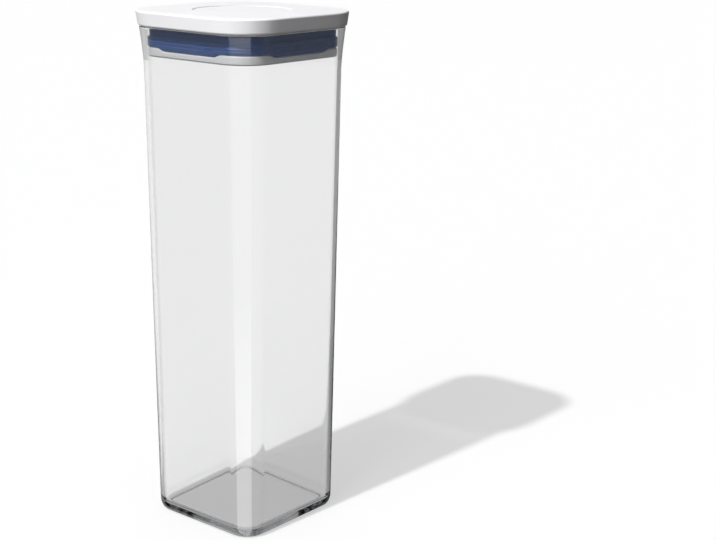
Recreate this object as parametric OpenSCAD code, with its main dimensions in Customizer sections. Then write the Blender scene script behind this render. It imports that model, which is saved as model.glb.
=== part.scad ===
// Airtight food storage container: a tall clear square container with a push-button lid.
// The lid is drawn closed and sealed, with the button down. The foot stands on z = 0.

/* [Container] */
// Outer width across the flats, just below the mouth
body_w = 96; // [90:0.5:104]
// Height of the rim above the table
container_h = 312; // [150:1:330]
// Outer corner radius just below the mouth
corner_r = 19; // [16:0.5:21]
// How much each side draws in between the mouth and the foot
side_draft = 4.3; // [0.5:0.1:5]
// Wall thickness of the sides
wall = 2.4; // [1.6:0.1:2.8]
// Thickness of the floor
floor_t = 3; // [2:0.1:5]
// Height of the hollow under the floor
foot_recess = 1.5; // [0.6:0.1:3]
// Width of the ring that the container stands on
foot_ring_w = 2.5; // [1.5:0.1:4]
// Height of the rounded edge round the foot
foot_round_h = 6; // [3:0.5:9]
// How far the rounded edge draws in at the foot
foot_round_w = 3; // [1:0.1:4]
// Radius of the round between the floor and the walls
inside_round = 5; // [2:0.5:7]

/* [Mouth] */
// Height of the flared mouth
flare_h = 27; // [24:0.5:36]
// How far each side flares out at the rim
mouth_flare = 2.6; // [0.8:0.1:3]
// Wall thickness between the bore of the mouth and the flat sides
neck_wall = 2.2; // [1:0.1:2.6]

/* [Cap] */
// How far the cap stands out beyond the rim on each side
cap_overhang = 3.4; // [3:0.1:8]
// Height of the cap above the rim
cap_h = 10; // [9:0.1:14]
// Corner radius of the cap
cap_corner_r = 28.7; // [24:0.1:32]
// How much the cap's side draws in from its top edge to its lower edge
cap_draft = 1; // [0:0.1:1.5]
// Thickness of the cap
cap_t = 2.4; // [1.8:0.1:3]
// Radius of the cap's top edge
cap_edge_r = 1.2; // [0.4:0.1:1.6]
// Height of the shadow gap between the rim and the cap's lower edge
shadow_gap = 0.5; // [0.3:0.1:1]
// Radius of the cap's lower edge
cap_lower_r = 1.8; // [0.4:0.1:2]

/* [Seal] */
// Height of the gasket
gasket_h = 13.2; // [12:0.1:15]
// Height of the gasket's thick sealing band
band_h = 8.4; // [6:0.1:9]
// Radial thickness of the sealing band
gasket_t = 5.2; // [4:0.1:6]
// Depth of the groove above the sealing band
gasket_groove = 1.7; // [0.8:0.1:2.4]
// Height of the squeeze plate's edge
plate_edge_h = 3.7; // [3:0.1:5]
// Thickness of the squeeze plate
plate_t = 1.8; // [1.4:0.1:2.4]
// Bevel along the squeeze plate's edge
plate_bevel = 0.9; // [0.3:0.1:1.2]
// Radius of the sealing band's edges
band_round = 1.2; // [0.5:0.1:2]
// How much higher the squeeze plate's edge stands at the corners
corner_rise = 1.8; // [0.8:0.1:2.4]
// How far the higher edge runs on along the sides from each corner
corner_run = 2; // [1:0.5:8]

/* [Button] */
// Diameter of the button
button_d = 60; // [54:0.5:62]
// How far the button's face lies below the cap's top
button_sink = 0.3; // [0:0.1:0.8]
// Wall thickness of the button
button_t = 2.4; // [1.8:0.1:2.6]
// Width of the lip that keeps the button in the cap
lip_w = 1.6; // [1:0.1:2]
// Height of that lip
lip_h = 1.2; // [1:0.1:2]
// Bore of the plunger tube
plunger_bore = 13.2; // [12.6:0.1:15]
// Wall thickness of the plunger tube
plunger_wall = 1.6; // [1.2:0.1:2.2]
// Width of the plunger's flanges
plunger_flange_w = 3.4; // [2.6:0.1:4]
// Thickness of the plunger's flanges
plunger_flange_t = 2; // [1.4:0.1:2.6]
// Radius of the button's top edge
button_edge_r = 0.9; // [0.3:0.1:1.5]

/* [Housing] */
// Thickness of the housing's flange, which rests on the rim
flange_t = 2.4; // [1.8:0.1:3]
// Thickness of the wall that stands inside the gasket
carrier_wall = 2; // [1.4:0.1:2.6]
// Height of the spokes and the hub
spoke_h = 3.5; // [2.5:0.1:3.6]
// Width of the spokes
spoke_w = 5; // [3:0.5:6]
// Diameter of the cap's pegs
peg_d = 5.2; // [4:0.1:6]
// Diameter of the spigot on each peg
spigot_d = 3; // [2:0.1:3.6]

/* [Levers] */
// Width of each lever
lever_w = 4; // [3:0.1:5]
// Thickness of each lever's arms
lever_t = 2.2; // [1.6:0.1:2.6]
// Radius of the round noses at the lever's ends
nose_r = 1.3; // [1.2:0.1:1.6]
// Length of the outer arm
outer_arm = 4.5; // [4:0.1:6]
// Radius of the lever's pivot boss and of the ears
ear_r = 2.4; // [2.2:0.1:3]
// Thickness of the ears
ear_t = 2.4; // [1.8:0.1:3]
// Diameter of the pivot pins
pin_d = 2.5; // [2:0.1:3]
// Thickness of the posts that the outer noses lift
lifter_t = 1.2; // [1:0.1:1.8]

/* [Latch and spring] */
// Diameter of the guide post
post_d = 6.6; // [6:0.1:6.8]
// Wall thickness of the latch rotor
rotor_wall = 0.8; // [0.6:0.05:0.9]
// Thickness of the rotor's flange
rotor_flange_t = 2; // [1.5:0.1:3]
// Angle that the rotor turns through in one stroke
rotor_turn = 45; // [30:1:60]
// Diameter of the latch pin
latch_pin_d = 1.6; // [1.2:0.1:2]
// Depth of the groove that guides the latch pin
groove_depth = 1; // [0.8:0.1:1.3]
// Diameter of the spring's wire
wire_d = 1; // [0.8:0.05:1.1]
// Number of turns of the spring
spring_turns = 7; // [5:0.5:8]
// Thickness of the spring's washer
washer_t = 0.5; // [0.3:0.1:0.8]

/* [Clearances] */
// Gap between pieces that move past each other
slide_gap = 0.3; // [0.2:0.05:0.4]
// Gap round the button
button_gap = 0.45; // [0.3:0.05:0.6]
// Radial play of the levers on their pins
pin_play = 0.06; // [0.02:0.01:0.1]
// Radial play of pegs, pins and posts in the pieces that hold them
seat_play = 0.04; // [0.01:0.01:0.05]
// Extra room added to a gap where several sizes meet
spare = 0.1; // [0.05:0.05:0.2]
// Room between the button's lip and the pivot ears
ear_room = 0.6; // [0.4:0.1:2]
// Distance of the levers' inner noses from the plunger tube
tip_room = 2; // [1.6:0.1:2.4]
// Room between the squeeze plate and the levers' inner noses
lever_lift = 1.6; // [1:0.1:2]
// Room between the levers' pivots and the button's lip
lip_clear = 0.6; // [0.4:0.1:0.8]
// Height of the step below the bore of the mouth
bore_step = 3; // [2:0.5:5]

/* [Hidden] */
$fn = 96;

// Corner centres: the container's pieces share one, and the cap's pieces share another
corner_c = body_w / 2 - corner_r;
mouth_r = corner_r + mouth_flare;
cap_c = corner_c + mouth_r + cap_overhang - cap_corner_r;
cap_out = cap_corner_r - cap_draft;
cap_in = cap_out - cap_t;

// Container profile, as distance from the corner centre against height
rim_z = container_h;
flare_z = rim_z - flare_h;
foot_r = corner_r - side_draft;
floor_z = foot_recess + floor_t;
bore_r = corner_r - neck_wall;
arc_steps = 8;

// Lid heights, from the rim down
band_z = rim_z - gasket_h;
edge_top_z = band_z - slide_gap;
plate_z = edge_top_z - plate_edge_h;
sheet_top_z = plate_z + plate_t;
hub_z = sheet_top_z + slide_gap + spare;
hub_top_z = hub_z + spoke_h;

// Lid heights, from the rim up
top_z = rim_z + cap_h;
cap_under_z = top_z - cap_t;
flange_top_z = rim_z + flange_t;
button_top_z = top_z - button_sink;
button_under_z = button_top_z - button_t;

// Gasket and carrier, as distance from the corner centre
gasket_out = bore_r - slide_gap;
gasket_in = gasket_out - gasket_t;
carrier_out = gasket_in - spare;
carrier_in = carrier_out - carrier_wall;

// Stroke of the button: what the levers below and the cap above leave for it
tip_z = sheet_top_z + lever_lift + nose_r;
stroke = (cap_under_z - tip_z - lip_h - lip_clear - slide_gap) / 1.5;

// Levers
button_r = button_d / 2;
plunger_in = plunger_bore / 2;
plunger_out = plunger_in + plunger_wall;
housing_hole_r = button_r + lip_w + 2 * (slide_gap + spare);
pivot_r = housing_hole_r + ear_room + ear_r;
pivot_z = tip_z + stroke / 2;
tip_r = plunger_out + tip_room;
inner_arm = pivot_r - tip_r;
rest_angle = asin(stroke / 2 / inner_arm);
plate_travel = 2 * outer_arm * sin(rest_angle);
neck_depth = rim_z - plate_z + plate_travel + 2 * slide_gap;
ear_y = lever_w / 2 + slide_gap;
peg_x = (housing_hole_r + cap_c + cap_in) / 2;
lip_z = pivot_z + lip_clear;
press_z = tip_z + nose_r + slide_gap;

// Latch and spring
post_r = post_d / 2;
rotor_in = post_r + slide_gap + spare;
rotor_out = rotor_in + rotor_wall;
rotor_top_z = button_under_z - slide_gap;
rotor_flange_z = rotor_top_z - rotor_flange_t;
rotor_foot_z = press_z + plunger_flange_t;
latch_z = rotor_foot_z + latch_pin_d;
post_top_z = button_under_z - slide_gap;
hub_r = plunger_in - slide_gap;
washer_z = hub_top_z;
spring_low_z = washer_z + washer_t + spare;
spring_high_z = rotor_flange_z - slide_gap;
spring_r = rotor_out + slide_gap + spare + wire_d / 2;

// Where the four levers point
lever_angles = [-45, 45, 135, 225];

echo(stroke = stroke, rest_angle = rest_angle, plate_travel = plate_travel);
echo(pivot_r = pivot_r, pivot_z = pivot_z, top_z = top_z, plate_z = plate_z);

// Points of an arc in a profile, round (r, z)
function arc(r, z, rx, rz, from, to) =
    [for (i = [0:arc_steps])
        let (a = from + (to - from) * i / arc_steps)
            [r + rx * cos(a), z + rz * sin(a)]];

// Outside of the container at a height
function side_r(z) = z < flare_z
    ? corner_r - side_draft * (flare_z - z) / (flare_z - foot_round_h)
    : corner_r + mouth_flare * pow((z - flare_z) / flare_h, 1.5);

// A wall profile carried round a square with round corners
module swept(c, profile) {
    for (quarter = [0:3])
        rotate(90 * quarter) {
            translate([c, c, 0])
                rotate_extrude(angle = 90)
                    polygon(profile);
            translate([c, c, 0])
                rotate([90, 0, 0])
                    linear_extrude(2 * c)
                        polygon(profile);
        }
}

// The square in the middle of a swept slab
module middle(c, z0, z1) {
    translate([-c, -c, z0])
        cube([2 * c, 2 * c, z1 - z0]);
}

// What its children have near the four corners, and up to a run along the sides
module near_corners(c, run, reach) {
    intersection() {
        children();
        for (quarter = [0:3])
            rotate(90 * quarter)
                translate([c - run, c - run, 0])
                    cube([run + reach, run + reach, top_z]);
    }
}

// A slab with round corners, from the corner centre out to r
module slab(c, r, z0, z1) {
    swept(c, [[0, z0], [r, z0], [r, z1], [0, z1]]);
    middle(c, z0, z1);
}

module container_body() {
    bore_z = rim_z - neck_depth;
    step_z = bore_z - bore_step;
    round_z = floor_z + inside_round;
    round_r = side_r(round_z) - wall;
    ring_in = foot_r - foot_round_w - foot_ring_w;
    flare = [for (i = [0:arc_steps]) let (z = flare_z + flare_h * i / arc_steps) [side_r(z), z]];
    color("azure", 0.35)
        union() {
            swept(corner_c, concat(
                [[0, foot_recess], [ring_in - foot_recess, foot_recess], [ring_in, 0]],
                arc(foot_r - foot_round_w, foot_round_h, foot_round_w, foot_round_h, -90, 0),
                flare,
                [[bore_r, rim_z], [bore_r, bore_z], [side_r(step_z) - wall, step_z]],
                arc(round_r - inside_round, round_z, inside_round, inside_round, 0, -90),
                [[0, floor_z]]
            ));
            middle(corner_c, foot_recess, floor_z);
        }
}

module lid_cap() {
    low_z = rim_z + shadow_gap;
    lower_r = min(cap_lower_r, cap_t - slide_gap);
    color("white")
        difference() {
            union() {
                swept(cap_c, concat(
                    [[cap_in, low_z]],
                    arc(cap_out - lower_r, low_z + lower_r, lower_r, lower_r, -90, 0),
                    arc(cap_corner_r - cap_edge_r, top_z - cap_edge_r, cap_edge_r, cap_edge_r, 0, 90),
                    [[0, top_z], [0, cap_under_z], [cap_in, cap_under_z]]
                ));
                middle(cap_c, cap_under_z, top_z);
                for (quarter = [0:3])
                    rotate(90 * quarter)
                        translate([peg_x, 0, 0]) {
                            translate([0, 0, flange_top_z])
                                cylinder(d = peg_d, h = cap_under_z - flange_top_z + cap_t / 2);
                            translate([0, 0, rim_z + slide_gap])
                                cylinder(d = spigot_d, h = flange_t);
                        }
            }
            translate([0, 0, cap_under_z - 1])
                cylinder(r = button_r + button_gap, h = cap_t + 2);
        }
}

module lid_housing() {
    flange_out = cap_in - slide_gap;
    color("whitesmoke")
        difference() {
            union() {
                slab(cap_c, flange_out, rim_z, flange_top_z);
                swept(corner_c, [
                    [carrier_in, hub_z], [carrier_out, hub_z],
                    [carrier_out, rim_z], [carrier_in, rim_z]
                ]);
                for (a = [0, 90])
                    rotate(a)
                        translate([-corner_c - carrier_in - 1, -spoke_w / 2, hub_z])
                            cube([2 * (corner_c + carrier_in + 1), spoke_w, spoke_h]);
                translate([0, 0, hub_z])
                    cylinder(r = hub_r, h = spoke_h);
                for (a = lever_angles)
                    rotate(a)
                        for (side = [0, 1])
                            mirror([0, side, 0])
                                ear();
            }
            translate([0, 0, rim_z - 1])
                cylinder(r = housing_hole_r, h = flange_t + 2);
            translate([0, 0, hub_z - 1])
                cylinder(r = post_r + seat_play, h = spoke_h + 2);
            for (quarter = [0:3])
                rotate(90 * quarter)
                    translate([peg_x, 0, rim_z - 1])
                        cylinder(d = spigot_d + 2 * seat_play, h = flange_t + 2);
        }
}

// One ear of a lever's pivot, hung under the flange
module ear() {
    translate([pivot_r, ear_y + ear_t, 0])
        rotate([90, 0, 0])
            linear_extrude(ear_t)
                difference() {
                    union() {
                        translate([0, pivot_z])
                            circle(r = ear_r);
                        translate([-ear_r, pivot_z])
                            square([2 * ear_r, rim_z - pivot_z + flange_t / 2]);
                    }
                    translate([0, pivot_z])
                        circle(r = pin_d / 2 + seat_play);
                }
}

module gasket() {
    top = band_z + band_h;
    color("darkslateblue")
        difference() {
            swept(corner_c, concat(
                [[gasket_in, band_z]],
                arc(gasket_out - band_round, band_z + band_round, band_round, band_round, -90, 0),
                arc(gasket_out - band_round, top - band_round, band_round, band_round, 0, 90),
                [[gasket_out - gasket_groove, top], [gasket_out - gasket_groove, rim_z], [gasket_in, rim_z]]
            ));
            near_corners(corner_c, corner_run, corner_r)
                slab(corner_c, corner_r, band_z - 1, band_z + corner_rise);
        }
}

module squeeze_plate() {
    edge_out = gasket_out - slide_gap;
    edge_in = carrier_out + slide_gap + spare;
    bevel_z = edge_top_z - plate_bevel;
    color("white")
        union() {
            swept(corner_c, [
                [0, plate_z], [edge_out - plate_bevel, plate_z], [edge_out, plate_z + plate_bevel],
                [edge_out, bevel_z], [edge_out - plate_bevel, edge_top_z],
                [edge_in, edge_top_z], [edge_in, sheet_top_z], [0, sheet_top_z]
            ]);
            near_corners(corner_c, corner_run - slide_gap, corner_r)
                swept(corner_c, [
                    [edge_in, bevel_z], [edge_out, bevel_z], [edge_out, bevel_z + corner_rise],
                    [edge_out - plate_bevel, edge_top_z + corner_rise], [edge_in, edge_top_z + corner_rise]
                ]);
            middle(corner_c, plate_z, sheet_top_z);
            for (a = lever_angles)
                rotate(a)
                    lifter();
        }
}

// Post of the squeeze plate with a window for a lever's outer nose
module lifter() {
    nose_x = pivot_r + outer_arm * cos(rest_angle);
    nose_z = pivot_z + outer_arm * sin(rest_angle);
    window = nose_r + slide_gap;
    width = lever_w + 2 * slide_gap + 2 * lifter_t;
    depth = 2 * nose_r;
    height = nose_z + window + lifter_t - sheet_top_z;
    translate([nose_x - depth / 2, 0, sheet_top_z - plate_t / 2])
        difference() {
            translate([0, -width / 2, 0])
                cube([depth, width, height + plate_t / 2]);
            translate([-1, -lever_w / 2 - slide_gap, nose_z - window - sheet_top_z + plate_t / 2])
                cube([depth + 2, lever_w + 2 * slide_gap, 2 * window]);
        }
}

module button_cap() {
    color("white")
        rotate_extrude()
            polygon(concat(
                [[0, button_under_z], [button_r - button_t, button_under_z], [button_r - button_t, lip_z]],
                [[button_r + lip_w, lip_z], [button_r + lip_w, lip_z + lip_h], [button_r, lip_z + lip_h]],
                arc(button_r - button_edge_r, button_top_z - button_edge_r,
                    button_edge_r, button_edge_r, 0, 90),
                [[0, button_top_z]]
            ));
}

module button_plunger() {
    flange_r = plunger_out + plunger_flange_w;
    color("gainsboro")
        rotate_extrude()
            polygon([
                [plunger_in, press_z], [flange_r, press_z], [flange_r, press_z + plunger_flange_t],
                [plunger_out, press_z + plunger_flange_t], [plunger_out, button_under_z - plunger_flange_t],
                [flange_r, button_under_z - plunger_flange_t], [flange_r, button_under_z],
                [plunger_in, button_under_z]
            ]);
}

module guide_post() {
    steps = 16;
    color("lightgray")
        difference() {
            translate([0, 0, hub_z])
                cylinder(r = post_r, h = post_top_z - hub_z);
            for (i = [0:steps])
                translate([0, 0, latch_z + stroke * i / steps])
                    rotate(rotor_turn * i / steps)
                        translate([post_r - groove_depth, 0, 0])
                            rotate([0, 90, 0])
                                cylinder(d = latch_pin_d + 2 * slide_gap, h = groove_depth + 1);
        }
}

module latch_rotor() {
    color("lightsteelblue")
        difference() {
            rotate_extrude()
                polygon([
                    [rotor_in, rotor_foot_z], [rotor_out, rotor_foot_z], [rotor_out, rotor_flange_z],
                    [hub_r, rotor_flange_z], [hub_r, rotor_top_z], [rotor_in, rotor_top_z]
                ]);
            translate([0, 0, latch_z])
                rotate([0, 90, 0])
                    cylinder(d = latch_pin_d + 2 * seat_play, h = rotor_out + 1);
        }
}

module latch_pin() {
    color("silver")
        translate([post_r - groove_depth + slide_gap, 0, latch_z])
            rotate([0, 90, 0])
                cylinder(d = latch_pin_d, h = rotor_out - post_r + groove_depth - slide_gap);
}

module spring_washer() {
    color("silver")
        translate([0, 0, washer_z])
            difference() {
                cylinder(r = hub_r, h = washer_t);
                translate([0, 0, -1])
                    cylinder(r = post_r + slide_gap, h = washer_t + 2);
            }
}

// Return spring: one wire wound into a helix between its washer and the rotor
rings_per_turn = 8;
wire_sides = 6;
spring_rings = rings_per_turn * spring_turns;
spring_rise = spring_high_z - spring_low_z - wire_d;

function spring_centre(i) = let (a = 360 * i / rings_per_turn)
    [spring_r * cos(a), spring_r * sin(a), spring_low_z + wire_d / 2 + spring_rise * i / spring_rings];

function spring_point(i, j) = let (a = 360 * i / rings_per_turn, b = 360 * j / wire_sides)
    spring_centre(i) + wire_d / 2 * [cos(b) * cos(a), cos(b) * sin(a), sin(b)];

spring_points = [for (i = [0:spring_rings]) for (j = [0:wire_sides - 1]) spring_point(i, j)];
spring_gap = min([
    for (i = [0:spring_rings - rings_per_turn])
        for (k = [i + rings_per_turn - 1:min(i + rings_per_turn + 1, spring_rings)])
            for (j = [0:wire_sides - 1])
                for (m = [0:wire_sides - 1])
                    norm(spring_point(i, j) - spring_point(k, m))
]);
echo(least_gap_in_spring = spring_gap);

module return_spring() {
    last = spring_rings * wire_sides;
    sides = [
        for (i = [0:spring_rings - 1])
            for (j = [0:wire_sides - 1])
                let (a = i * wire_sides + j, b = i * wire_sides + (j + 1) % wire_sides)
                    each [[a, b, b + wire_sides], [a, b + wire_sides, a + wire_sides]]
    ];
    first_end = [for (j = [1:wire_sides - 2]) [0, j + 1, j]];
    last_end = [for (j = [1:wire_sides - 2]) [last, last + j, last + j + 1]];
    color("silver")
        polyhedron(points = spring_points, faces = concat(sides, first_end, last_end));
}

// One lever about its pivot, drawn level and then tilted to its resting angle
module lever(a) {
    color("gainsboro")
        rotate(a)
            translate([pivot_r, lever_w / 2, pivot_z])
                rotate([90, 0, 0])
                    rotate(rest_angle)
                        linear_extrude(lever_w)
                            difference() {
                                union() {
                                    translate([-inner_arm, -lever_t / 2])
                                        square([inner_arm + outer_arm, lever_t]);
                                    translate([-inner_arm, 0])
                                        circle(r = nose_r);
                                    translate([outer_arm, 0])
                                        circle(r = nose_r);
                                    circle(r = ear_r);
                                }
                                circle(r = pin_d / 2 + pin_play);
                            }
}

module lever_pin(a) {
    length = 2 * (ear_y + ear_t);
    color("silver")
        rotate(a)
            translate([pivot_r, length / 2, pivot_z])
                rotate([90, 0, 0])
                    cylinder(d = pin_d, h = length);
}

container_body();
lid_cap();
lid_housing();
gasket();
squeeze_plate();
button_cap();
button_plunger();
guide_post();
latch_rotor();
latch_pin();
return_spring();
spring_washer();
lever(lever_angles[0]);  // lever_front_right
lever(lever_angles[1]);  // lever_back_right
lever(lever_angles[2]);  // lever_back_left
lever(lever_angles[3]);  // lever_front_left
lever_pin(lever_angles[0]);  // pin_front_right
lever_pin(lever_angles[1]);  // pin_back_right
lever_pin(lever_angles[2]);  // pin_back_left
lever_pin(lever_angles[3]);  // pin_front_left
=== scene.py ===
# %% [markdown]
# A tall square airtight food storage container, dressed around its CAD frame.
# The CAD model already fixes where every piece is and how it moves, so this lesson only adds what
# the eye sees: smooth moulded forms, clear and white plastic, soft silicone, steel, light and camera.
# Everything is in metres and in the frame of the CAD model, so no piece has to be fitted by hand.

# %% Load the frame
import math
import bmesh
import bpy
from mathutils import Matrix, Vector


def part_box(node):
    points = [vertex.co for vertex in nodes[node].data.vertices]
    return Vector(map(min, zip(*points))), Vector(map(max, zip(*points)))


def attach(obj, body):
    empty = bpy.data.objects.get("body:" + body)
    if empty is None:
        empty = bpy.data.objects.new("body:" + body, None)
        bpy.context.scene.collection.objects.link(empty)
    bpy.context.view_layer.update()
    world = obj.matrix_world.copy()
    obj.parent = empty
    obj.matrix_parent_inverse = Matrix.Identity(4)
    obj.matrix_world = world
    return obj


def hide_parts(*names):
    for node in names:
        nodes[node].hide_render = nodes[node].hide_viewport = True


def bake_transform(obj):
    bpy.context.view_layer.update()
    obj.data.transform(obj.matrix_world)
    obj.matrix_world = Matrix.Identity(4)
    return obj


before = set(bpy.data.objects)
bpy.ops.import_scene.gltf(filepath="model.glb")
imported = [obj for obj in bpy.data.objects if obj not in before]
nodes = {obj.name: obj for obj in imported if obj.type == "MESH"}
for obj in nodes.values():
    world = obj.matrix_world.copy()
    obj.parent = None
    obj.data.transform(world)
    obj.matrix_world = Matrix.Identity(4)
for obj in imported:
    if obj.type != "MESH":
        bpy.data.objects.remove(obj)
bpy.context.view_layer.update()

# %% [markdown]
# The camera stands in front of one vertical edge of the container and a little above its lid.
# A camera could be aimed with a tracking constraint, but here its three axes are worked out, because
# the picture is also rolled by less than a degree and its aim lies to the right of the container.

# %% Set the camera
MM = 0.001
camera_turn = math.radians(39.49)
camera_tilt = math.radians(14.66)
camera_roll = math.radians(0.76)
camera_distance = 942.4 * MM
aim_height = 160 * MM
aim_aside = 71.75 * MM
focal_length = 74.91

back = Vector((
    math.sin(camera_turn) * math.cos(camera_tilt),
    -math.cos(camera_turn) * math.cos(camera_tilt),
    math.sin(camera_tilt),
))
level_right = Vector((math.cos(camera_turn), math.sin(camera_turn), 0))
level_up = back.cross(level_right)
right = level_right * math.cos(camera_roll) + level_up * math.sin(camera_roll)
up = level_up * math.cos(camera_roll) - level_right * math.sin(camera_roll)

camera_data = bpy.data.cameras.new("camera")
camera_data.sensor_width = 36
camera_data.lens = focal_length
camera_data.clip_start = 0.01
camera_data.clip_end = 100
camera = bpy.data.objects.new("camera", camera_data)
place = Vector((0, 0, aim_height)) + level_right * aim_aside + back * camera_distance
camera.matrix_world = Matrix.Translation(place) @ Matrix((right, up, back)).transposed().to_4x4()
bpy.context.scene.collection.objects.link(camera)
bpy.context.scene.camera = camera
bpy.context.scene.view_settings.view_transform = "Standard"
print("camera stands at", [round(x, 3) for x in place])

# %% [markdown]
# The container, the cap, the gasket and the plate are all one kind of shape: an outline carried
# round a square with round corners. A curve with a bevel object could do it, but a loft in bmesh
# keeps every ring of points in the right place, so the walls are exact and refract light cleanly.
# The outline gives the reach beyond the corner centre and the height of each point.

# %% Carry an outline round a rounded square
corner_steps = 24
side_stops = [stop * MM for stop in (2, 3, 4, 5, 6, 7, 8, 9)]


def rounded_square(corner_centre, reach):
    """The points once round a rounded square, each with its way from the nearest corner arc."""
    points = []
    for corner in range(4):
        quarter = Matrix.Rotation(math.radians(90 * corner), 2)
        middle = Vector((corner_centre, corner_centre))
        arc = []
        for step in range(corner_steps + 1):
            turn = math.radians(90 * step / corner_steps)
            arc.append((middle + reach * Vector((math.cos(turn), math.sin(turn))), 0))
        lead_in = [(arc[0][0] - Vector((0, stop)), stop) for stop in reversed(side_stops)]
        lead_out = [(arc[-1][0] - Vector((stop, 0)), stop) for stop in side_stops]
        for point, way in lead_in + arc + lead_out:
            points.append((*(quarter @ point), way))
    return points


def carry_round(shape, outline, corner_centre, closed, lift=None):
    """Adds one lofted solid to a bmesh: a closed tube of rings, or a cup whose two ends are filled."""
    rings = []
    for reach, height in outline:
        ring = []
        for x, y, way in rounded_square(corner_centre, reach):
            ring.append(shape.verts.new((x, y, lift(height, way) if lift else height)))
        rings.append(ring)
    pairs = list(zip(rings, rings[1:]))
    if closed:
        pairs.append((rings[-1], rings[0]))
    count = len(rings[0])
    for low, high in pairs:
        for i in range(count):
            j = (i + 1) % count
            shape.faces.new((low[i], low[j], high[j], high[i]))
    if not closed:
        shape.faces.new(rings[0])
        shape.faces.new(rings[-1])


def make_piece(name, shape, sharp_above=40):
    """Turns a bmesh into an object with smooth faces that stay crisp at the sharp edges."""
    bmesh.ops.remove_doubles(shape, verts=shape.verts, dist=1e-7)
    bmesh.ops.recalc_face_normals(shape, faces=shape.faces)
    mesh = bpy.data.meshes.new(name)
    shape.to_mesh(mesh)
    shape.free()
    mesh.shade_smooth()
    mesh.set_sharp_from_angle(angle=math.radians(sharp_above))
    piece = bpy.data.objects.new(name, mesh)
    bpy.context.scene.collection.objects.link(piece)
    print(name, "has", len(mesh.vertices), "points and", len(mesh.polygons), "faces")
    return piece


# %% [markdown]
# A moulded piece has no truly sharp edge, and it is the small rounds that catch the light. A bevel
# modifier could round the edges of the finished mesh, but then the walls would no longer be known
# exactly, so the outline is rounded first: each of its corners is swapped for an arc of its own.

# %% Round the corners of an outline
def ease(corners, closed, steps=6):
    """Takes (reach, height, radius) corners and gives the outline with an arc at each."""
    outline = []
    count = len(corners)
    for i, (reach, height, radius) in enumerate(corners):
        here = Vector((reach, height))
        if radius == 0 or (not closed and i in (0, count - 1)):
            outline.append((reach, height))
            continue
        before = Vector(corners[i - 1][:2]) - here
        after = Vector(corners[(i + 1) % count][:2]) - here
        half = before.angle(after) / 2
        run = min(radius / math.tan(half), 0.48 * before.length, 0.48 * after.length)
        start = here + before.normalized() * run
        end = here + after.normalized() * run
        middle = here + (before.normalized() + after.normalized()).normalized() * run / math.cos(half)
        first = start - middle
        sweep = first.angle_signed(end - middle)
        for step in range(steps + 1):
            arm = first.copy()
            arm.rotate(Matrix.Rotation(-sweep * step / steps, 2))
            outline.append(tuple(middle + arm))
    return outline


square_corner = ease([(0, 0, 0), (1, 0, 0.2), (1, 1, 0)], closed=False)
print("a square corner with one arc has", len(square_corner), "points")

# %% [markdown]
# The container is one deep moulding in clear plastic. Its four sides taper a little to the foot so
# that it leaves the mould, the top flares to take the lid, and a low ring under the floor is all
# that touches the table. The CAD node has these forms already, but light bends through this piece,
# so it is built again with finer arcs, a rounded rim and rounded inner corners.

# %% Model the clear container
low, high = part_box("container_body")
rim_height = high.z
corner_centre = 29 * MM
mouth_reach = high.x - corner_centre
side_reach = 19 * MM
side_taper = 4.3 * MM
wall = 2.4 * MM
flare_start = rim_height - 27 * MM
flare_curve = 1.5
foot_round_height = 7 * MM
foot_round_width = 4.2 * MM
foot_ring = 2.5 * MM
foot_recess = 1.5 * MM
floor_height = 4.5 * MM
neck_reach = mouth_reach - 4.8 * MM


def side_at(height):
    """How far the outside stands beyond the corner centre at a height."""
    if height < flare_start:
        return side_reach - side_taper * (flare_start - height) / (flare_start - foot_round_height)
    flare_share = (height - flare_start) / (rim_height - flare_start)
    return side_reach + (mouth_reach - side_reach) * flare_share ** flare_curve


foot_reach = side_at(foot_round_height)
ring_inside = foot_reach - foot_round_width - foot_ring
outer_corners = [
    (2 * MM, foot_recess, 0),
    (ring_inside - foot_recess, foot_recess, 0.8 * MM),
    (ring_inside, 0, 0.4 * MM),
]
for step in range(13):
    lean = math.radians(90 * step / 12)
    reach = foot_reach - foot_round_width * (1 - math.sin(lean))
    outer_corners.append((reach, foot_round_height * (1 - math.cos(lean)), 0))
for step in range(1, 9):
    height = foot_round_height + (flare_start - foot_round_height) * step / 8
    outer_corners.append((side_at(height), height, 0))
for step in range(1, 17):
    height = flare_start + (rim_height - 1 * MM - flare_start) * step / 16
    outer_corners.append((side_at(height), height, 0))

bore_foot = rim_height - 19.94 * MM
wall_start = bore_foot - 8 * MM
inner_corners = [
    (mouth_reach, rim_height, 0.7 * MM),
    (neck_reach, rim_height, 0.7 * MM),
    (neck_reach, bore_foot, 14 * MM),
    (side_at(wall_start) - wall, wall_start, 14 * MM),
    (side_at(floor_height) - wall, floor_height, 5 * MM),
    (2 * MM, floor_height, 0),
]
shape = bmesh.new()
wall_outline = ease(outer_corners + inner_corners, closed=False, steps=8)
carry_round(shape, wall_outline, corner_centre, closed=False)
container = make_piece("clear_container", shape, sharp_above=60)
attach(container, "container")
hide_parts("container_body")
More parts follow.
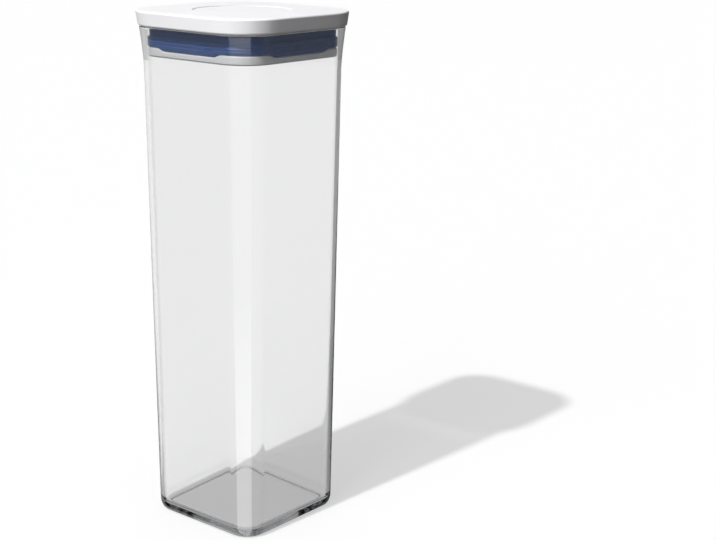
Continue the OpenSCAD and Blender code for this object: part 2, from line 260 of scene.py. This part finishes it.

# %% [markdown]
# The seal is a soft silicone band that hangs between the lid and the plate below it. A thin neck
# tucks up behind the cap and the thick band below is what the eye sees through the clear wall.
# When the button goes down, the plate comes up and squeezes the band outwards; when it pops up the
# band hangs free. The piece stands where the CAD gasket stands.

# %% Model the silicone seal
low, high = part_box("gasket")
seal_reach = high.x - corner_centre
seal_groove = 1.7 * MM
band_height = 8.4 * MM
seal_thickness = 5.2 * MM
band_bulge = 0.12 * MM
seal_inside = seal_reach - seal_thickness
band_top = low.z + band_height
band_foot = seal_reach - 0.9 * MM
rib_line = 0.22 * MM
seal_corners = [(seal_inside, low.z, 0.5 * MM), (band_foot, low.z, 1.0 * MM)]
seal_corners.append((seal_reach, low.z + 1.3 * MM, 1.0 * MM))
for share in (0.42, 0.7):
    line_height = low.z + share * band_height
    seal_corners.append((seal_reach + band_bulge, line_height - 0.5 * MM, 0.3 * MM))
    seal_corners.append((seal_reach - rib_line, line_height, 0.3 * MM))
    seal_corners.append((seal_reach + band_bulge, line_height + 0.5 * MM, 0.3 * MM))
seal_corners += [
    (seal_reach, band_top, 0.9 * MM),
    (seal_reach - seal_groove, band_top + 0.2 * MM, 0.5 * MM),
    (seal_reach - seal_groove, high.z, 0.4 * MM),
    (seal_inside, high.z, 0.4 * MM),
]
corner_rise = 1.8 * MM


def at_corner(way):
    """1 at the corners and 0 along the sides, with a smooth step between."""
    share = min(max((9 * MM - way) / (7 * MM), 0), 1)
    return share * share * (3 - 2 * share)


def lift_seal(height, way):
    """Lifts the foot of the band at the corners and leaves its top where it is."""
    share = min(max((band_top - 2 * MM - height) / (band_height - 2 * MM), 0), 1)
    return height + corner_rise * share * at_corner(way)


shape = bmesh.new()
carry_round(shape, ease(seal_corners, closed=True), corner_centre, closed=True, lift=lift_seal)
seal = make_piece("silicone_seal", shape)
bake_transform(seal)
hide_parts("gasket")

# %% [markdown]
# At each corner the white plate stands a little higher than along the sides, and the band of the seal
# is cut back to suit. The CAD plate carries the edge; this low lip sits on it and fades out along
# the sides, so it is the same kind of loft, with its top lifted only near the corners.

# %% Model the raised corners of the plate
low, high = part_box("squeeze_plate")
lip_reach = seal_reach - 0.28 * MM
lip_foot = low.z + 1.6 * MM
lip_top = low.z + 3.9 * MM
lip_slope = 0.8 * MM
lip_corners = [
    (lip_reach - 2.6 * MM, lip_foot, 0),
    (lip_reach, lip_foot, 0),
    (lip_reach, lip_top - lip_slope, 0.3 * MM),
    (lip_reach - lip_slope, lip_top, 0.3 * MM),
    (lip_reach - 2.6 * MM, lip_top, 0.4 * MM),
]


def lift_lip(height, way):
    """Lifts the top of the lip at the corners and leaves its foot in the plate."""
    return height + corner_rise * at_corner(way) if height > lip_foot + 0.3 * MM else height


shape = bmesh.new()
carry_round(shape, ease(lip_corners, closed=True), corner_centre, closed=True, lift=lift_lip)
plate_lip = make_piece("plate_corner_lip", shape)
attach(plate_lip, "plate")

# %% [markdown]
# Under the button sits a wound steel spring that pops it up. A helix with a round section could be a
# bevelled curve; here it is a mesh tube that fills the box of the CAD spring, its foot on the washer in
# the lid and its top under the button. The last turn at each end lies flat, as on a ground spring.

# %% Wind the return spring
low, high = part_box("return_spring")
wire_radius = 0.5 * MM
coil_radius = high.x - wire_radius
coil_turns = 7
turn_steps = 36
wire_steps = 10


def coil_point(share):
    """The middle of the wire at a share of its way up, with a flat turn at each end."""
    turn = 2 * math.pi * coil_turns * share
    free_share = (share * coil_turns - 0.75) / (coil_turns - 1.5)
    rise = min(max(free_share, 0), 1)
    height = low.z + wire_radius + (high.z - low.z - 2 * wire_radius) * rise
    return Vector((coil_radius * math.cos(turn), coil_radius * math.sin(turn), height))


shape = bmesh.new()
rings = []
for step in range(coil_turns * turn_steps + 1):
    share = step / (coil_turns * turn_steps)
    middle = coil_point(share)
    outwards = Vector((middle.x, middle.y, 0)).normalized()
    ring = []
    for part in range(wire_steps):
        lean = 2 * math.pi * part / wire_steps
        offset = outwards * math.cos(lean) + Vector((0, 0, 1)) * math.sin(lean)
        ring.append(shape.verts.new(middle + wire_radius * offset))
    rings.append(ring)
for below, above in zip(rings, rings[1:]):
    for i in range(wire_steps):
        j = (i + 1) % wire_steps
        shape.faces.new((below[i], below[j], above[j], above[i]))
shape.faces.new(rings[0])
shape.faces.new(rings[-1])
spring = make_piece("wound_spring", shape)
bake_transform(spring)
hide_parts("return_spring")

# %% [markdown]
# Every finish here is built from nodes: one shader, and noise in the object's own coordinates, in
# metres, for the fine unevenness of a moulding. An image texture would need an unwrapped mesh and a
# file on disk; noise needs neither and keeps its scale on every piece.

# %% Start a finish
def new_finish(name):
    """A new material with its node tree, its shader and the object coordinates."""
    finish = bpy.data.materials.new(name)
    finish.use_nodes = True
    tree = finish.node_tree
    shader = tree.nodes["Principled BSDF"]
    place = tree.nodes.new("ShaderNodeTexCoord")
    return finish, tree, shader, place.outputs["Object"]


def add_noise(tree, where, size, detail=3):
    """Noise whose features are about that size, in metres."""
    noise = tree.nodes.new("ShaderNodeTexNoise")
    noise.inputs["Scale"].default_value = 1 / size
    noise.inputs["Detail"].default_value = detail
    tree.links.new(where, noise.inputs["Vector"])
    return noise.outputs["Fac"]


def add_slope(tree, value, start, end, first, last, smooth=False):
    """Goes from the first value to the last as the input goes from start to end, and stops there."""
    slope = tree.nodes.new("ShaderNodeMapRange")
    slope.interpolation_type = "SMOOTHSTEP" if smooth else "LINEAR"
    slope.inputs["From Min"].default_value = start
    slope.inputs["From Max"].default_value = end
    slope.inputs["To Min"].default_value = first
    slope.inputs["To Max"].default_value = last
    tree.links.new(value, slope.inputs["Value"])
    return slope.outputs["Result"]


def add_range(tree, value, low, high):
    """Spreads noise, which keeps near the middle, between two values."""
    return add_slope(tree, value, 0.3, 0.7, low, high)


def add_tint(tree, value, dark, light):
    """Runs noise through two close colours."""
    ramp = tree.nodes.new("ShaderNodeValToRGB")
    ramp.color_ramp.elements[0].position = 0.3
    ramp.color_ramp.elements[0].color = (*dark, 1)
    ramp.color_ramp.elements[1].position = 0.7
    ramp.color_ramp.elements[1].color = (*light, 1)
    tree.links.new(value, ramp.inputs["Fac"])
    return ramp.outputs["Color"]


def add_bump(tree, shader, value, depth, strength=1.0):
    """Raises the surface by noise, by a depth in metres."""
    bump = tree.nodes.new("ShaderNodeBump")
    bump.inputs["Strength"].default_value = strength
    bump.inputs["Distance"].default_value = depth
    tree.links.new(value, bump.inputs["Height"])
    tree.links.new(bump.outputs["Normal"], shader.inputs["Normal"])


def dress(finish, *pieces):
    """Gives a finish to pieces or CAD nodes."""
    for piece in pieces:
        piece.data.materials.clear()
        piece.data.materials.append(finish)
    print(finish.name, "dresses", len(pieces))


# %% [markdown]
# The container is moulded in a clear food-safe plastic, a little softer to light than glass.
# A transparent shader would show the back wall without bending it, so the shader refracts, and the
# grey of the thick edges comes from a plain absorption inside the wall: the longer the way through
# the plastic, the greyer. Light that runs along inside the foot turns many times before it leaves,
# so the scene lets a ray turn more often than it would by default.

# %% Finish the clear plastic
clear_plastic, tree, shader, where = new_finish("clear_wall")
shader.inputs["Base Color"].default_value = (1, 1, 1, 1)
shader.inputs["Transmission Weight"].default_value = 1
shader.inputs["IOR"].default_value = 1.55
haze = add_noise(tree, where, 12 * MM)
tree.links.new(add_range(tree, haze, 0.004, 0.022), shader.inputs["Roughness"])
ripple = add_noise(tree, where, 30 * MM, detail=1)
add_bump(tree, shader, ripple, 0.03 * MM)
out = tree.nodes["Material Output"]
body_grey = tree.nodes.new("ShaderNodeVolumeAbsorption")
body_grey.inputs["Color"].default_value = (0.5, 0.52, 0.54, 1)
body_grey.inputs["Density"].default_value = 15
tree.links.new(body_grey.outputs["Volume"], out.inputs["Volume"])
dress(clear_plastic, container)

ray_turns = 96
cycles = bpy.context.scene.cycles
cycles.max_bounces = ray_turns
cycles.glossy_bounces = ray_turns
cycles.transmission_bounces = ray_turns

# %% [markdown]
# Behind a refracting wall, light from a lamp would gather into bright specks and take long to settle.
# Rays that go to a lamp, and rays from one matt surface to another, therefore pass the wall straight,
# through a transparent shader that Light Path switches in. The wall dims them on the way: little at
# the mouth, where the lid shows through it, and more below, which sets how dark its shadow is.

# %% Let lamp light through the clear plastic
def add_math(tree, operation, first, second):
    """One sum of two values, each a number or the output of a node."""
    node = tree.nodes.new("ShaderNodeMath")
    node.operation = operation
    for socket, value in zip(node.inputs, (first, second)):
        if isinstance(value, (int, float)):
            socket.default_value = value
        else:
            tree.links.new(value, socket)
    return node.outputs[0]


passes_below = 0.4
passes_at_mouth = 0.85
fade_height = 20 * MM
split = tree.nodes.new("ShaderNodeSeparateXYZ")
tree.links.new(where, split.inputs["Vector"])
fade_start = flare_start - fade_height
dimming = add_slope(tree, split.outputs["Z"], fade_start, flare_start, passes_below, passes_at_mouth)
straight = tree.nodes.new("ShaderNodeBsdfTransparent")
tree.links.new(dimming, straight.inputs["Color"])
path = tree.nodes.new("ShaderNodeLightPath")
lets_by = add_math(tree, "MAXIMUM", path.outputs["Is Shadow Ray"], path.outputs["Is Diffuse Ray"])
mix = tree.nodes.new("ShaderNodeMixShader")
tree.links.new(lets_by, mix.inputs["Fac"])
tree.links.new(shader.outputs["BSDF"], mix.inputs[1])
tree.links.new(straight.outputs["BSDF"], mix.inputs[2])
tree.links.new(mix.outputs["Shader"], out.inputs["Surface"])
print("lamp light passes at", passes_below, "below and", passes_at_mouth, "at the mouth")

# %% [markdown]
# The cap and the button are white plastic with the fine satin grain that an etched mould leaves.
# The grain is far smaller than a pixel of the picture, so it works through roughness and a shallow
# bump. A darker copy of the white, a little smoother, does for the pieces inside the lid: its lower
# level is painted shade, standing in for part of the shade they take under the lid and the clear wall.

# %% Finish the white plastics
def satin_plastic(name, dark, light, rough_low, rough_high, grain, grain_depth):
    """A moulded plastic: faint drift of colour, uneven gloss and a fine grain."""
    finish, tree, shader, where = new_finish(name)
    drift = add_noise(tree, where, 25 * MM)
    tree.links.new(add_tint(tree, drift, dark, light), shader.inputs["Base Color"])
    gloss = add_noise(tree, where, 6 * MM)
    tree.links.new(add_range(tree, gloss, rough_low, rough_high), shader.inputs["Roughness"])
    add_bump(tree, shader, add_noise(tree, where, grain), grain_depth, strength=0.5)
    return finish


cap_white = satin_plastic(
    "cap_white", (0.845, 0.84, 0.86), (0.87, 0.865, 0.885), 0.34, 0.46, 0.4 * MM, 0.01 * MM)
# A darker copy of the cap's white: the pieces' own white with painted shade for their place under the
# lid.
inner_white_shaded = satin_plastic(
    "inner_white_shaded", (0.66, 0.67, 0.68), (0.70, 0.71, 0.72), 0.28, 0.4, 0.6 * MM, 0.008 * MM)
bearing_grey = satin_plastic(
    "bearing_grey", (0.58, 0.58, 0.57), (0.64, 0.64, 0.62), 0.3, 0.45, 0.5 * MM, 0.01 * MM)

dress(cap_white, nodes["lid_cap"], nodes["button_cap"])
dress(inner_white_shaded, nodes["lid_housing"], nodes["squeeze_plate"], plate_lip)
corners = ("front_right", "back_right", "back_left", "front_left")
levers = [nodes["lever_" + corner] for corner in corners]
dress(bearing_grey, nodes["button_plunger"], nodes["guide_post"], nodes["latch_rotor"], *levers)

# %% [markdown]
# The seal is navy silicone: matt, a little dusty, with a soft sheen where light grazes it.

# %% Finish the silicone
navy_silicone, tree, shader, where = new_finish("navy_silicone")
drift = add_noise(tree, where, 10 * MM)
tree.links.new(
    add_tint(tree, drift, (0.021, 0.064, 0.205), (0.028, 0.075, 0.235)), shader.inputs["Base Color"])
dust = add_noise(tree, where, 1.5 * MM)
tree.links.new(add_range(tree, dust, 0.36, 0.5), shader.inputs["Roughness"])
shader.inputs["Sheen Weight"].default_value = 0.1
add_bump(tree, shader, add_noise(tree, where, 0.5 * MM), 0.01 * MM, strength=0.4)
dress(navy_silicone, seal)

# %% [markdown]
# The spring, the washer and the pins are plain steel: drawn wire with fine scratches along it.

# %% Finish the steel
spring_steel, tree, shader, where = new_finish("spring_steel")
shader.inputs["Metallic"].default_value = 1
drift = add_noise(tree, where, 2 * MM)
tree.links.new(add_tint(tree, drift, (0.5, 0.5, 0.51), (0.62, 0.62, 0.63)), shader.inputs["Base Color"])
scratch = add_noise(tree, where, 0.3 * MM)
tree.links.new(add_range(tree, scratch, 0.22, 0.38), shader.inputs["Roughness"])
add_bump(tree, shader, scratch, 0.005 * MM, strength=0.4)
pins = [nodes["pin_" + corner] for corner in corners]
dress(spring_steel, spring, nodes["latch_pin"], nodes["spring_washer"], *pins)

# %% [markdown]
# The container stands on a plain white sweep. A plane primitive would do, but a grid in bmesh is made
# and placed in one go, a hair below the foot so that the two surfaces never fight for a pixel.
# Reflections off the outside of the container leave the floor out and show the studio instead.

# %% Lay the floor
floor_half = 15
floor_gap = 0.1 * MM
floor_shape = bmesh.new()
bmesh.ops.create_grid(floor_shape, x_segments=8, y_segments=8, size=floor_half)
floor_mesh = bpy.data.meshes.new("floor")
floor_shape.to_mesh(floor_mesh)
floor_shape.free()
floor = bpy.data.objects.new("floor", floor_mesh)
floor.location.z = -floor_gap
floor.visible_glossy = False
bpy.context.scene.collection.objects.link(floor)
print("floor is", 2 * floor_half, "m wide")

# %% [markdown]
# The floor and the room have to tell several kinds of light apart: what the camera sees, what lights
# the object, and what the clear wall mirrors. Light Path knows how a ray came, so these helpers turn
# it into shares from 0 to 1, mix numbers by a share, and mark a sector of turns about the upright axis.

# %% Tell one kind of light from another
def seen_straight(tree):
    """1 for what the camera sees, straight or through clear plastic, and 0 for all other light."""
    path = tree.nodes.new("ShaderNodeLightPath")
    seen = add_math(tree, "MAXIMUM", path.outputs["Is Camera Ray"], path.outputs["Is Transmission Ray"])
    turned = add_math(tree, "ADD", path.outputs["Glossy Depth"], path.outputs["Diffuse Depth"])
    not_turned = add_math(tree, "LESS_THAN", turned, 0.5)
    return add_math(tree, "MULTIPLY", seen, not_turned), path


def any_turn(tree, path, depth):
    """1 for a ray that has turned at least once in the way that the depth counts, else 0."""
    return add_math(tree, "MINIMUM", path.outputs[depth], 1)


def add_mix(tree, share, first, second):
    """Goes from the first value to the second as the share goes from 0 to 1."""
    node = tree.nodes.new("ShaderNodeMix")
    tree.links.new(share, node.inputs["Factor"])
    for socket, value in ((node.inputs["A"], first), (node.inputs["B"], second)):
        if isinstance(value, (int, float)):
            socket.default_value = value
        else:
            tree.links.new(value, socket)
    return node.outputs["Result"]


def add_sector(tree, where, first, last, edge):
    """1 between two turns about the upright axis, in degrees, and 0 elsewhere, with soft edges."""
    to_middle = tree.nodes.new("ShaderNodeVectorRotate")
    to_middle.rotation_type = "Z_AXIS"
    to_middle.inputs["Angle"].default_value = -math.radians((first + last) / 2)
    tree.links.new(where, to_middle.inputs["Vector"])
    turn = tree.nodes.new("ShaderNodeTexGradient")
    turn.gradient_type = "RADIAL"
    tree.links.new(to_middle.outputs["Vector"], turn.inputs["Vector"])
    away = add_math(tree, "ABSOLUTE", add_math(tree, "SUBTRACT", turn.outputs["Fac"], 0.5), 0)
    half = (last - first) / 2
    return add_slope(tree, away, (half - edge) / 360, (half + edge) / 360, 1, 0, smooth=True)


# %% [markdown]
# A floor that is simply lit would be grey in places. What the camera sees of it, also through the
# clear wall, is therefore part plain white and part lit surface: white in the open and a light grey
# in the shadow. Light that bounces off it towards the lid meets a darker floor, so the lid keeps its
# shading. Rays that turned inside the clear wall meet painted light instead: a floor painted pale on
# the left and dark on the right, which draws the light and dark edges of the container, and a painted
# glow round and under the foot.

# %% Finish the floor
white_share = 0.53
floor_pale = 0.87
floor_dim = 0.12
floor_inner = 0.34
pale_from = 128
pale_to = 200
pale_edge = 8
pale_side = 0.6
dark_side = 0.12
glow_dark = 0.25
glow_pale = 0.42
glow_foot = 0.36
glow_to = 270
glow_edge = 20
foot_near = 55 * MM
foot_far = 80 * MM

floor_white = bpy.data.materials.new("floor_white")
floor_white.use_nodes = True
tree = floor_white.node_tree
tree.nodes.remove(tree.nodes["Principled BSDF"])
seen, path = seen_straight(tree)
bounced = any_turn(tree, path, "Diffuse Depth")
through = any_turn(tree, path, "Transparent Depth")
where = tree.nodes.new("ShaderNodeTexCoord").outputs["Object"]

# Painted reflection: for rays that turned inside the clear wall the floor is painted pale on the left
# and dark on the right.
pale = add_sector(tree, where, pale_from, pale_to, pale_edge)
dim = add_mix(tree, through, floor_dim, floor_inner)
unseen = add_mix(tree, bounced, add_mix(tree, pale, dark_side, pale_side), dim)
lit = tree.nodes.new("ShaderNodeBsdfDiffuse")
tree.links.new(add_mix(tree, seen, unseen, floor_pale), lit.inputs["Color"])

# Painted glow: the floor emits light for rays that turned inside the clear wall, paler on the left and
# most under the foot; matt surfaces get none of it.
from_middle = tree.nodes.new("ShaderNodeVectorMath")
from_middle.operation = "LENGTH"
tree.links.new(where, from_middle.inputs[0])
under_foot = add_slope(tree, from_middle.outputs["Value"], foot_far, foot_near, 0, 1)
glow_side = add_sector(tree, where, pale_from, glow_to, glow_edge)
glow = add_mix(tree, under_foot, add_mix(tree, glow_side, glow_dark, glow_pale), glow_foot)
glow = add_mix(tree, bounced, glow, 0.0)
plain = tree.nodes.new("ShaderNodeEmission")
mix = tree.nodes.new("ShaderNodeMixShader")
tree.links.new(add_mix(tree, seen, glow, white_share), mix.inputs["Fac"])
tree.links.new(lit.outputs["BSDF"], mix.inputs[1])
tree.links.new(plain.outputs["Emission"], mix.inputs[2])
tree.links.new(mix.outputs["Shader"], tree.nodes["Material Output"].inputs["Surface"])
dress(floor_white, floor)

# %% [markdown]
# The world is white where it is seen and dim where it lights, so the background never has to be
# over-lit. In reflections it is a studio: dark all round, paler towards the ceiling and on the left,
# with one tall white panel in front that draws the light stripe down the front corner. A light probe
# picture could give such reflections, but a few sectors do, and each can be set by itself. What the
# clear wall mirrors on its inside has levels of its own, so its edges can be drawn without a veil.

# %% Paint the studio on the world
room_light = 0.07
room_inner = 0.075
studio_dark = 0.04
studio_ceiling = 0.5
ceiling_from = 0.05
ceiling_to = 0.5
panel_from = -97
panel_to = -25
panel_edge = 2
panel_light = 0.6
panel_foot = 2.9
panel_foot_from = -0.42
panel_foot_to = -0.3

world = bpy.data.worlds.new("room")
world.use_nodes = True
bpy.context.scene.world = world
tree = world.node_tree
seen, path = seen_straight(tree)
where = tree.nodes.new("ShaderNodeTexCoord").outputs["Generated"]
split = tree.nodes.new("ShaderNodeSeparateXYZ")
tree.links.new(where, split.inputs["Vector"])
level = split.outputs["Z"]

panel = add_sector(tree, where, panel_from, panel_to, panel_edge)
panel_glow = add_slope(tree, level, panel_foot_from, panel_foot_to, panel_foot, panel_light)
pale = add_sector(tree, where, pale_from, pale_to, pale_edge)
rise = add_slope(tree, level, ceiling_from, ceiling_to, studio_dark, studio_ceiling)
studio = add_mix(tree, panel, add_mix(tree, pale, rise, pale_side), panel_glow)
print("studio panel spans", panel_to - panel_from, "degrees")

# %% [markdown]
# Inside the wall a ray meets the same panel and the same pale side. The left face mirrors a part of
# the studio that is kept dark, so the navy seal behind it stays deep, and steep rays meet the floor.

# %% Paint what the clear wall mirrors inside
inner_dark = 0.33
floor_glow = 0.7
steep_from = -0.42
steep_to = -0.6
mirror_from = 208
mirror_to = 252
mirror_edge = 6

mirror = add_sector(tree, where, mirror_from, mirror_to, mirror_edge)
within = add_mix(tree, pale, add_mix(tree, mirror, inner_dark, studio_dark), pale_side)
within = add_mix(tree, panel, within, panel_glow)
steep = add_slope(tree, level, steep_from, steep_to, 0, 1)
within = add_mix(tree, steep, within, floor_glow)

mirrored = add_mix(tree, any_turn(tree, path, "Transmission Depth"), studio, within)
room = add_mix(tree, any_turn(tree, path, "Transparent Depth"), room_light, room_inner)
unseen = add_mix(tree, any_turn(tree, path, "Glossy Depth"), room, mirrored)
background = tree.nodes["Background"]
background.inputs["Color"].default_value = (1, 1, 1, 1)
tree.links.new(add_mix(tree, seen, unseen, 1.0), background.inputs["Strength"])
print("the room lights with", room_light, "and shows white")

# %% [markdown]
# One small bright lamp stands high on the left, square to the container's left side, and throws the
# long shadow to the right. Two broad weak lamps, from the front and from above, soften the rest. An
# area lamp for each would do, but lamps at a great distance light the whole height evenly. Only the
# first shows as a glint, and none is seen through the clear wall, where it would be a white blot.

# %% Hang the lamps
def hang_lamp(name, turn, height, strength, spread, glint):
    """A lamp that shines from far off, by its turn and height in degrees, and how wide it looks."""
    aim = Vector((
        math.cos(math.radians(height)) * math.cos(math.radians(turn)),
        math.cos(math.radians(height)) * math.sin(math.radians(turn)),
        math.sin(math.radians(height)),
    ))
    data = bpy.data.lights.new(name, "SUN")
    data.energy = strength
    data.angle = math.radians(spread)
    lamp = bpy.data.objects.new(name, data)
    lamp.rotation_mode = "QUATERNION"
    lamp.rotation_quaternion = aim.to_track_quat("Z", "Y")
    lamp.location = aim * 2
    lamp.visible_transmission = False
    lamp.visible_glossy = glint
    bpy.context.scene.collection.objects.link(lamp)
    print(name, "shines from", [round(x, 3) for x in aim])


hang_lamp("key_lamp", turn=-91, height=49.8, strength=3.2, spread=1.8, glint=True)
hang_lamp("front_lamp", turn=-88, height=32, strength=0.5, spread=36, glint=False)
hang_lamp("top_lamp", turn=0, height=90, strength=0.65, spread=80, glint=False)

# %% [markdown]
# The front corner of the cap is as bright as its left side, and the right side falls off along its
# length. A far lamp lights a side evenly, so a small disc lamp close to the lid adds that fall-off.

# %% Hang the near lamp
near_size = 120 * MM
near_power = 0.23
near_place = Vector((135 * MM, -280 * MM, 400 * MM))
near_target = Vector((30 * MM, -30 * MM, 310 * MM))
near_data = bpy.data.lights.new("near_lamp", "AREA")
near_data.shape = "DISK"
near_data.size = near_size
near_data.energy = near_power
near_lamp = bpy.data.objects.new("near_lamp", near_data)
near_lamp.location = near_place
near_lamp.rotation_mode = "QUATERNION"
near_lamp.rotation_quaternion = (near_target - near_place).to_track_quat("-Z", "Y")
near_lamp.visible_glossy = False
near_lamp.visible_transmission = False
bpy.context.scene.collection.objects.link(near_lamp)
print("near lamp is", round((near_target - near_place).length, 3), "m from the lid")
